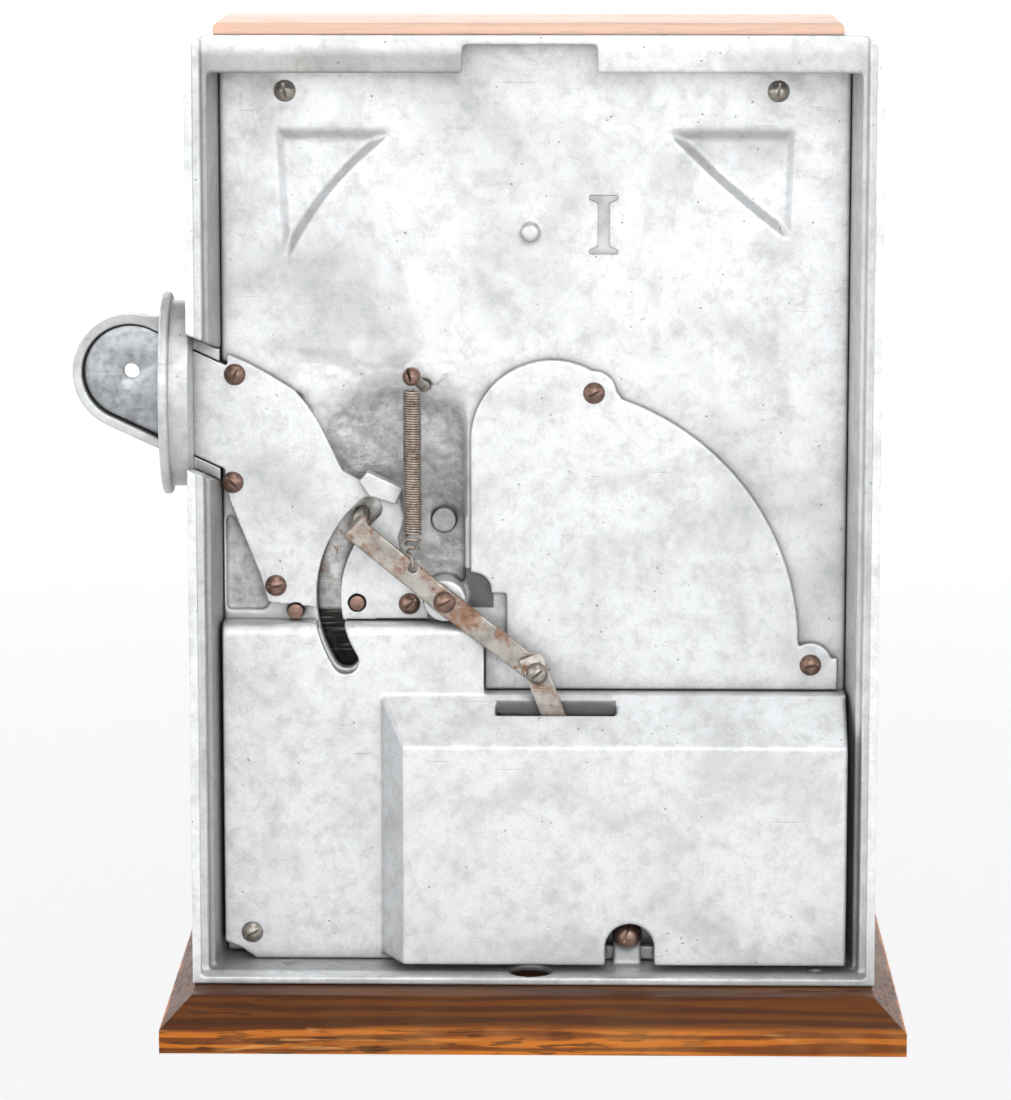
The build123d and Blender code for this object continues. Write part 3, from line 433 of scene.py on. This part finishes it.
def finish(name):
    """Each material is made once, when it is first asked for."""
    makers = {
        "bright": lambda: cast_metal("bright_casting"),
        # painted shade: the panel's box darkens the crescent-shaped gap by the pivot boss, the housing's box
        # the inside of the link slot
        "panel": lambda: cast_metal("panel_casting", pocket=True, shaded=[
            (Vector((0.0175, PANEL_Y - 5 * MM, 0.179)), Vector((0.0345, PANEL_Y + 0.4 * MM, 0.1965)))]),
        "housing": lambda: cast_metal("housing_casting", tone=1.03, shaded=[
            (Vector((-0.0353, 0.0458, 0.110)), Vector((0.0163, 0.0504, 0.1424)))]),
        "plug": lambda: cast_metal("plug_metal", tone=0.62, painted_shade=0.3, sandy=0.6),
        "mark": lambda: cast_metal("mark_metal", tone=0.66, painted_shade=0.5),
        "case": lambda: cast_metal("case_casting", tone=1.10, warm=0.06, painted_shade=0.25, sandy=0.12,
                                   painted_wall_shade=True),
        "cup": lambda: cast_metal("cup_casting", tone=0.86, painted_shade=0.6, sandy=0.15),
        "oak": lambda: oak("varnished_oak"),
        # painted light: a pale copy of the oak for the top board, washed out as if strongly lit
        "lit_oak": lambda: oak("light_washed_oak", painted_light=0.72),
        "steel": lambda: worn_steel("screw_steel", (0.36, 0.33, 0.29), rust=0.2, rough=0.32,
                                    rust_colour=(0.14, 0.085, 0.055)),
        "copper": lambda: worn_steel("copper_screws", (0.26, 0.165, 0.13), rust=0.35, rough=0.32,
                                     rust_colour=(0.115, 0.065, 0.05)),
        "strap": lambda: worn_steel("rusted_strap", (0.40, 0.375, 0.34), rust=0.75, rough=0.36, scale=0.45,
                                    rust_colour=(0.24, 0.105, 0.05)),
        "ring": lambda: worn_steel("ring_steel", (0.50, 0.50, 0.49), rust=0.25, shaded_below=0.1775),
        "slide": lambda: worn_steel("slide_steel", (0.40, 0.42, 0.44), rust=0.0, rough=0.36),
        "hidden": lambda: worn_steel("inner_steel", (0.50, 0.50, 0.49), rust=0.25),
        "spring": lambda: worn_steel("spring_wire", (0.40, 0.33, 0.28), rust=0.45, rough=0.3,
                                     rust_colour=(0.14, 0.07, 0.045), scale=2.0),
        "brass": lambda: worn_steel("worn_brass", (0.68, 0.48, 0.17), rust=0.2, rough=0.3, metal=0.95,
                                    rust_colour=(0.20, 0.12, 0.05)),
        "enamel": lambda: enamel("green_enamel", (0.055, 0.17, 0.115)),
        "knob": lambda: enamel("black_knob", (0.012, 0.012, 0.012), 0.18),
        "glass": lambda: pane("window_pane"),
        "card": lambda: paper("award_card_print"),
    }
    if name not in FINISHES:
        FINISHES[name] = makers[name]()
    return FINISHES[name]


# ---------------------------------------------------------------- mesh helpers
def new_object(name, mesh, material):
    piece = bpy.data.objects.new(name, mesh)
    bpy.context.scene.collection.objects.link(piece)
    mesh.materials.clear()
    mesh.materials.append(finish(material))
    return piece


def baked(piece):
    """Give the piece the mesh that its modifiers make, and drop them."""
    bpy.context.view_layer.update()
    mesh = bpy.data.meshes.new_from_object(piece.evaluated_get(bpy.context.evaluated_depsgraph_get()))
    piece.modifiers.clear()
    piece.data = mesh


def node_copy(name, node, material, pegs=()):
    """A new mesh with the shape of a CAD node, its doubled corners joined and pegs put into its holes."""
    mesh = frame["nodes"][node].data.copy()
    form = bmesh.new()
    form.from_mesh(mesh)
    bmesh.ops.remove_doubles(form, verts=form.verts, dist=1e-6)
    bmesh.ops.dissolve_limit(form, angle_limit=math.radians(1), verts=form.verts, edges=form.edges)
    for centre, radius, depth in pegs:
        lie = Matrix.Translation(centre) @ Matrix.Rotation(math.pi / 2, 4, "X")
        bmesh.ops.create_cone(form, cap_ends=True, segments=24, radius1=radius, radius2=radius, depth=depth,
                              matrix=lie)
    form.to_mesh(mesh)
    form.free()
    return new_object(name, mesh, material)


def settle(piece, node):
    """The piece takes over a CAD node and rides on that node's body."""
    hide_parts(node)
    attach(piece, BODY_OF[node])
    return piece


def middle(node):
    low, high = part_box(node)
    return (low + high) / 2


def into_pocket(place, low):
    """How far a place lies inside the pocket's outline, below 0 outside it."""
    return min(place.x - POCKET_SIDES[0], POCKET_SIDES[1] - place.x, place.z - low, POCKET_TOP - place.z)


def mesh_of(form, name):
    """The mesh of a built form, which is then let go."""
    mesh = bpy.data.meshes.new(name)
    form.to_mesh(mesh)
    form.free()
    return mesh


def all_smooth(mesh):
    for face in mesh.polygons:
        face.use_smooth = True


def smooth_faces(piece, angle=40):
    all_smooth(piece.data)
    piece.data.set_sharp_from_angle(angle=math.radians(angle))


def softened(name, node, material, voxel, passes=2, pegs=()):
    """A casting or worn part: the node's shape remeshed finely and its edges rubbed down."""
    piece = node_copy(name, node, material, pegs)
    remesh = piece.modifiers.new("remesh", "REMESH")
    remesh.mode = "VOXEL"
    remesh.voxel_size = voxel
    remesh.adaptivity = 0.0
    rub = piece.modifiers.new("rub", "SMOOTH")
    rub.factor = 0.6
    rub.iterations = passes
    baked(piece)
    all_smooth(piece.data)
    return settle(piece, node)


def bevelled(name, node, material, width, segments=3, angle=30):
    """A machined or sawn part: the node's shape with its edges rounded."""
    piece = node_copy(name, node, material)
    bevel = piece.modifiers.new("edges", "BEVEL")
    bevel.width = width
    bevel.segments = segments
    bevel.limit_method = "ANGLE"
    bevel.angle_limit = math.radians(angle)
    bevel.harden_normals = False
    baked(piece)
    smooth_faces(piece)
    return settle(piece, node)


def kept(node, material):
    """A CAD node that stays, with a better material."""
    obj = frame["nodes"][node]
    obj.data.materials.clear()
    obj.data.materials.append(finish(material))
    return obj


# ---------------------------------------------------------------- studio
def paper_bowl(floor):
    """A pale floor that curves up all round, so that every view has the same ground."""
    g = Graph("paper_sweep")
    shade = tuple(c * 0.98 for c in floor)
    tone = g.mix(g.noise(3, 2, 0.5).ramp(0.3, 0.7) * 0.2, floor, shade)
    paper_sweep = g.surface(Base_Color=tone, Roughness=0.85, Emission_Color=(1, 1, 1),
                            Emission_Strength=SWEEP_GLOW)
    form = bmesh.new()
    reach, bend, tall, sides = 5.0, 1.2, 3.6, 96
    profile = [(reach - bend, 0.0)]
    for step in range(1, 13):
        turn = math.pi / 2 * step / 12
        profile.append((reach - bend + bend * math.sin(turn), bend - bend * math.cos(turn)))
    profile.append((reach, tall))
    turns = [2 * math.pi * side / sides for side in range(sides)]
    rings = []
    for radius, height in profile:
        ring = [(radius * math.cos(turn), radius * math.sin(turn), height) for turn in turns]
        rings.append([form.verts.new(place) for place in ring])
    form.faces.new(rings[0])
    for lower, upper in zip(rings, rings[1:]):
        for side in range(sides):
            after = (side + 1) % sides
            form.faces.new((lower[side], lower[after], upper[after], upper[side]))
    mesh = mesh_of(form, "sweep")
    mesh.materials.append(paper_sweep)
    all_smooth(mesh)
    sweep = bpy.data.objects.new("sweep", mesh)
    bpy.context.scene.collection.objects.link(sweep)


def studio_air():
    world = bpy.data.worlds.new("studio_air")
    world.use_nodes = True
    world.node_tree.nodes["Background"].inputs[0].default_value = (1, 1, 1, 1)
    world.node_tree.nodes["Background"].inputs[1].default_value = WORLD_LIGHT
    bpy.context.scene.world = world


def soft_boxes(strength):
    """Large lamps, all turned to the middle of the machine."""
    boxes = [("top_box", (-0.2, 0.9, 1.9), (1.3, 0.9), 1.0),
             ("camera_box", (-0.5, 2.3, 1.2), (1.5, 1.1), 1.0),
             ("side_box", (1.7, 1.2, 1.0), (0.9, 1.2), 0.3),
             ("front_box", (0.3, -2.0, 1.6), (1.5, 1.2), 1.5)]
    aim = Vector((0, 0, 0.22))
    for name, place, size, share in boxes:
        lamp = bpy.data.lights.new(name, "AREA")
        lamp.shape = "RECTANGLE"
        lamp.size, lamp.size_y = size
        lamp.energy = strength * share
        obj = bpy.data.objects.new(name, lamp)
        obj.location = place
        obj.rotation_euler = (aim - Vector(place)).to_track_quat("-Z", "Y").to_euler()
        bpy.context.scene.collection.objects.link(obj)


def rear_camera():
    """A long lens behind the open back, a little above it."""
    bpy.context.scene.view_settings.view_transform = "Standard"
    lens = bpy.data.cameras.new("view")
    lens.sensor_width = SENSOR
    lens.lens = SENSOR * FOCAL_SHARE
    lens.shift_y = LENS_SHIFT
    camera = bpy.data.objects.new("view", lens)
    camera.location = CAMERA_PLACE
    camera.rotation_euler = (math.radians(90 - CAMERA_DOWN), 0, math.radians(180 + CAMERA_TURN))
    bpy.context.scene.collection.objects.link(camera)
    bpy.context.scene.camera = camera


# ---------------------------------------------------------------- operators
class MakeOak(bpy.types.Operator):
    """Base and top board of varnished oak."""
    bl_idname = "penny.make_oak"
    bl_label = "Oak boards"

    def execute(self, context):
        edge = settings("wood").edge
        bevelled("oak_base_board", "oak_base", "oak", edge)
        bevelled("oak_top", "oak_top_board", "lit_oak", edge * 0.6)
        return {"FINISHED"}


class MakeCase(bpy.types.Operator):
    """The cast case with its door grooves."""
    bl_idname = "penny.make_case"
    bl_label = "Case"

    def execute(self, context):
        softened("cast_case", "case_casting", "case", settings("casting").voxel)
        return {"FINISHED"}


class MakePanel(bpy.types.Operator):
    """The mechanism panel with its corner recesses and rough pocket."""
    bl_idname = "penny.make_panel"
    bl_label = "Mechanism panel"

    def execute(self, context):
        voxel = settings("casting").voxel
        panel = softened("cast_panel", "mechanism_panel", "panel", voxel)
        zone = panel.vertex_groups.new(name="pocket")
        for vertex in panel.data.vertices:
            place = vertex.co
            inside = into_pocket(place, POCKET_EDGE)
            if inside > 0 and place.y > PANEL_Y - 7 * MM:
                zone.add([vertex.index], min(1.0, inside / (7 * MM)), "REPLACE")
        melt = panel.modifiers.new("melt", "SMOOTH")
        melt.factor = 0.9
        melt.iterations = 260
        melt.vertex_group = "pocket"
        baked(panel)
        for vertex in panel.data.vertices:
            place = vertex.co
            inside = into_pocket(place, POCKET_FOOT)
            if inside > 0 and PANEL_Y - 7 * MM < place.y < PANEL_Y + 0.2 * MM:
                share = min(1.0, inside / (9 * MM))
                wave = noise.noise(place * 75) * 1.1 + noise.noise(place * 210) * 0.45
                wave += noise.noise(place * 700) * 0.16
                vertex.co.y += min(0.0, wave - 0.5) * share * MM
        softened("pocket_plug", "hole_plug", "plug", voxel * 0.4, 4)
        return {"FINISHED"}


class MakeCastMark(bpy.types.Operator):
    """Plain raised bar with flared ends, cast on the panel."""
    bl_idname = "penny.make_cast_mark"
    bl_label = "Cast mark"

    def execute(self, context):
        right = [(6.0, 12.5), (6.0, 10.8), (2.4, 9.4), (2.4, -9.4), (6.0, -10.8), (6.0, -12.5)]
        outline = right + [(-x, z) for x, z in reversed(right)]
        form = bmesh.new()
        rear = [form.verts.new((MARK.x + x * MM, PANEL_Y + 0.9 * MM, MARK.z + z * MM)) for x, z in outline]
        front = [form.verts.new((MARK.x + x * MM, PANEL_Y - 0.3 * MM, MARK.z + z * MM)) for x, z in outline]
        form.faces.new(rear)
        form.faces.new(front[::-1])
        for here in range(len(outline)):
            after = (here + 1) % len(outline)
            form.faces.new((rear[after], rear[here], front[here], front[after]))
        bmesh.ops.recalc_face_normals(form, faces=form.faces)
        mark = new_object("cast_mark", mesh_of(form, "cast_mark"), "mark")
        bevel = mark.modifiers.new("edges", "BEVEL")
        bevel.width = 0.35 * MM
        bevel.segments = 3
        baked(mark)
        smooth_faces(mark)
        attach(mark, BODY_OF["mechanism_panel"])
        return {"FINISHED"}


class MakeCovers(bpy.types.Operator):
    """Mechanism cover, fan cover and lower housing."""
    bl_idname = "penny.make_covers"
    bl_label = "Covers and housing"

    def execute(self, context):
        voxel = settings("casting").voxel
        softened("cast_mechanism_cover", "mechanism_cover", "bright", voxel * 0.5, 2)
        softened("cast_fan_cover", "fan_cover", "bright", voxel * 0.6, 3)
        softened("cast_housing", "lower_housing", "housing", voxel * 0.8, 3)
        return {"FINISHED"}


class MakeCup(bpy.types.Operator):
    """Coin cup, its flange and prongs, and the steel slide."""
    bl_idname = "penny.make_cup"
    bl_label = "Coin cup and slide"

    def execute(self, context):
        cup = softened("cast_cup", "coin_cup", "cup", settings("casting").voxel * 0.5, 2)
        drill_form = bmesh.new()
        lie = Matrix.Translation(FINGER_HOLE) @ Matrix.Rotation(math.pi / 2, 4, "X")
        bmesh.ops.create_cone(drill_form, cap_ends=True, segments=32, radius1=FINGER_RADIUS,
                              radius2=FINGER_RADIUS, depth=30 * MM, matrix=lie)
        drill = bpy.data.objects.new("drill", mesh_of(drill_form, "drill"))
        bpy.context.scene.collection.objects.link(drill)
        bore = cup.modifiers.new("bore", "BOOLEAN")
        bore.operation = "DIFFERENCE"
        bore.object = drill
        baked(cup)
        bpy.data.objects.remove(drill)
        bevelled("steel_slide", "coin_slide", "slide", 0.25 * MM, 2)
        return {"FINISHED"}


class MakeLever(bpy.types.Operator):
    """Lever strap, drop link, shield ring, thumb rod and knob."""
    bl_idname = "penny.make_lever"
    bl_label = "Lever and link"

    def execute(self, context):
        low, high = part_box("lever_strap")
        pivot = middle("pivot_screw")
        rod = middle("thumb_rod")
        seat = Vector((rod.x, (low.y + high.y) / 2, rod.z))
        strap = softened("flat_strap", "lever_strap", "strap", 0.42 * MM, 2,
                         pegs=[(seat, 3.2 * MM, high.y - low.y - 0.02 * MM)])
        along = Vector((rod.x - pivot.x, 0, rod.z - pivot.z))
        reach = along.length - 1.2 * MM           # the strap's tip curls over from here
        curl_length = 4.2 * MM
        most_turn = 1.2
        along.normalize()
        for vertex in strap.data.vertices:
            past = (vertex.co - pivot).dot(along) - reach
            if past > 0:
                turn = min(past / curl_length, most_turn)
                vertex.co.y -= past * math.sin(turn) * 0.9
                vertex.co -= along * past * (1 - math.cos(turn))
        bevelled("flat_link", "drop_link", "strap", 0.4 * MM, 2)
        bevelled("ring_shield", "slot_shield", "ring", 0.2 * MM, 2)
        thumb_rod = bevelled("steel_thumb_rod", "thumb_rod", "steel", 0.3 * MM, 2)
        for vertex in thumb_rod.data.vertices:
            vertex.co.y = min(vertex.co.y, low.y - 1.5 * MM)
        bevelled("round_knob", "thumb_knob", "knob", 0.3 * MM, 2, 50)
        bevelled("lifting_plate", "release_plate", "hidden", 0.2 * MM, 2)
        bevelled("lifting_guides", "release_guides", "hidden", 0.3 * MM, 2)
        return {"FINISHED"}


class MakeScrews(bpy.types.Operator):
    """Slotted screws and pins, steel or copper-plated."""
    bl_idname = "penny.make_screws"
    bl_label = "Screws and pins"

    def execute(self, context):
        steel = ("panel_screws", "housing_screw", "link_screw", "front_screws", "coin_cup_screws",
                 "base_screws", "payout_tray_screws", "spring_post")
        copper = ("mechanism_cover_screws", "fan_cover_screws", "pivot_screw", "spring_screw",
                  "hold_down_screw", "locating_pin_1", "locating_pin_2")
        for node in steel + copper:
            material = "steel" if node in steel else "copper"
            turned = bevelled("turned_" + node, node, material, 0.16 * MM, 2, 35)
            if node == "coin_cup_screws":
                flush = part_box(node)[1].x - 2.5 * MM
                for vertex in turned.data.vertices:
                    vertex.co.x = min(vertex.co.x, flush)
        return {"FINISHED"}


class MakeSpring(bpy.types.Operator):
    """The return spring: close coils, open near the hook."""
    bl_idname = "penny.make_spring"
    bl_label = "Return spring"

    def execute(self, context):
        spring = settings("spring")
        low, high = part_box("return_spring")
        radius = (high.x - low.x) / 2 - spring.wire
        x = (low.x + high.x) / 2
        y = low.y + (high.x - low.x) / 2
        hook_z = low.z + spring.wire
        top = high.z - spring.wire
        close_end = hook_z + 16 * MM
        points = []
        turns = spring.coils
        per_turn = 14
        for step in range(turns * per_turn + 1):
            share = step / (turns * per_turn)
            height = top - share * (top - close_end)
            turn = 2 * math.pi * share * turns
            points.append((x + radius * math.cos(turn), y + radius * math.sin(turn), height))
        open_turns = 3
        drop = close_end - hook_z - 7 * MM
        for step in range(1, open_turns * per_turn + 1):
            share = step / (open_turns * per_turn)
            turn = 2 * math.pi * share * open_turns
            pull = 1 - 0.25 * share ** 2
            points.append((x + radius * pull * math.cos(turn), y + radius * pull * math.sin(turn),
                           close_end - drop * share ** 1.2))
        tail_y = high.y - spring.wire
        points += [(x + 0.6 * MM, y + 1.6 * MM, hook_z + 6 * MM), (x, tail_y, hook_z + 4 * MM),
                   (x - 0.1 * MM, tail_y, hook_z + 1.2 * MM), (x - 0.1 * MM, tail_y - 0.8 * MM, hook_z),
                   (x - 0.1 * MM, low.y + 3.2 * MM, hook_z)]
        eye = [(x + radius * 0.2, y, top + 0.2 * MM), (x - radius * 0.3, y - 0.4 * MM, top + 0.4 * MM)]
        curve = bpy.data.curves.new("return_coils", "CURVE")
        curve.dimensions = "3D"
        curve.bevel_depth = spring.wire
        curve.bevel_resolution = 2
        line = curve.splines.new("POLY")
        path = eye[::-1] + points
        line.points.add(len(path) - 1)
        for point, place in zip(line.points, path):
            point.co = (*place, 1)
        coil = bpy.data.objects.new("coil_form", curve)
        bpy.context.scene.collection.objects.link(coil)
        bpy.context.view_layer.update()
        mesh = bpy.data.meshes.new_from_object(coil.evaluated_get(bpy.context.evaluated_depsgraph_get()))
        bpy.data.objects.remove(coil)
        piece = new_object("return_coils", mesh, "spring")
        all_smooth(mesh)
        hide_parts("return_spring")
        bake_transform(piece)
        return {"FINISHED"}


class MakeFront(bpy.types.Operator):
    """The player's side: cast front, window, field, card and payout tray."""
    bl_idname = "penny.make_front"
    bl_label = "Player's side"

    def execute(self, context):
        voxel = settings("casting").voxel
        softened("cast_front", "front_casting", "cup", voxel * 1.1)
        softened("cast_tray", "payout_tray", "bright", voxel * 0.8, 3)
        kept("window_glass", "glass")
        bevelled("green_field", "playfield", "enamel", 0.3 * MM, 2)
        bevelled("brass_track", "coin_track", "brass", 0.3 * MM, 2)
        bevelled("brass_cups", "catch_cups", "brass", 0.2 * MM, 2)
        bevelled("brass_pins", "playfield_pins", "brass", 0.25 * MM, 2, 50)
        bevelled("brass_card_frame", "award_card_frame", "brass", 0.3 * MM, 2)
        kept("award_card", "card")
        return {"FINISHED"}


class MakeStudio(bpy.types.Operator):
    """Pale sweep, soft boxes and the camera."""
    bl_idname = "penny.make_studio"
    bl_label = "Studio"

    def execute(self, context):
        studio = settings("studio")
        paper_bowl(tuple(studio.floor))
        studio_air()
        soft_boxes(studio.strength)
        rear_camera()
        return {"FINISHED"}


MAKERS = (MakeOak, MakeCase, MakePanel, MakeCastMark, MakeCovers, MakeCup, MakeLever, MakeScrews,
          MakeSpring, MakeFront, MakeStudio)
GROUPS = {"casting": CastingSettings, "wood": WoodSettings, "spring": SpringSettings,
          "studio": StudioSettings}


class PennyPanel(bpy.types.Panel):
    """Lists the sizes, the colours and the steps."""
    bl_idname = "VIEW3D_PT_penny_game"
    bl_label = "Penny game"
    bl_space_type = "VIEW_3D"
    bl_region_type = "UI"
    bl_category = "Penny game"

    def draw(self, context):
        for name, group in GROUPS.items():
            box = self.layout.box()
            for key in group.__annotations__:
                box.prop(getattr(context.scene, name), key)
        for maker in MAKERS:
            self.layout.operator(maker.bl_idname)


def register():
    for group in GROUPS.values():
        bpy.utils.register_class(group)
    for maker in MAKERS:
        bpy.utils.register_class(maker)
    bpy.utils.register_class(PennyPanel)
    for name, group in GROUPS.items():
        setattr(bpy.types.Scene, name, bpy.props.PointerProperty(type=group))


def unregister():
    for name in GROUPS:
        delattr(bpy.types.Scene, name)
    bpy.utils.unregister_class(PennyPanel)
    for cls in reversed(MAKERS + tuple(GROUPS.values())):
        bpy.utils.unregister_class(cls)


def main():
    register()
    for maker in MAKERS:
        group, name = maker.bl_idname.split(".")
        getattr(getattr(bpy.ops, group), name)()


if __name__ == "__main__":
    main()
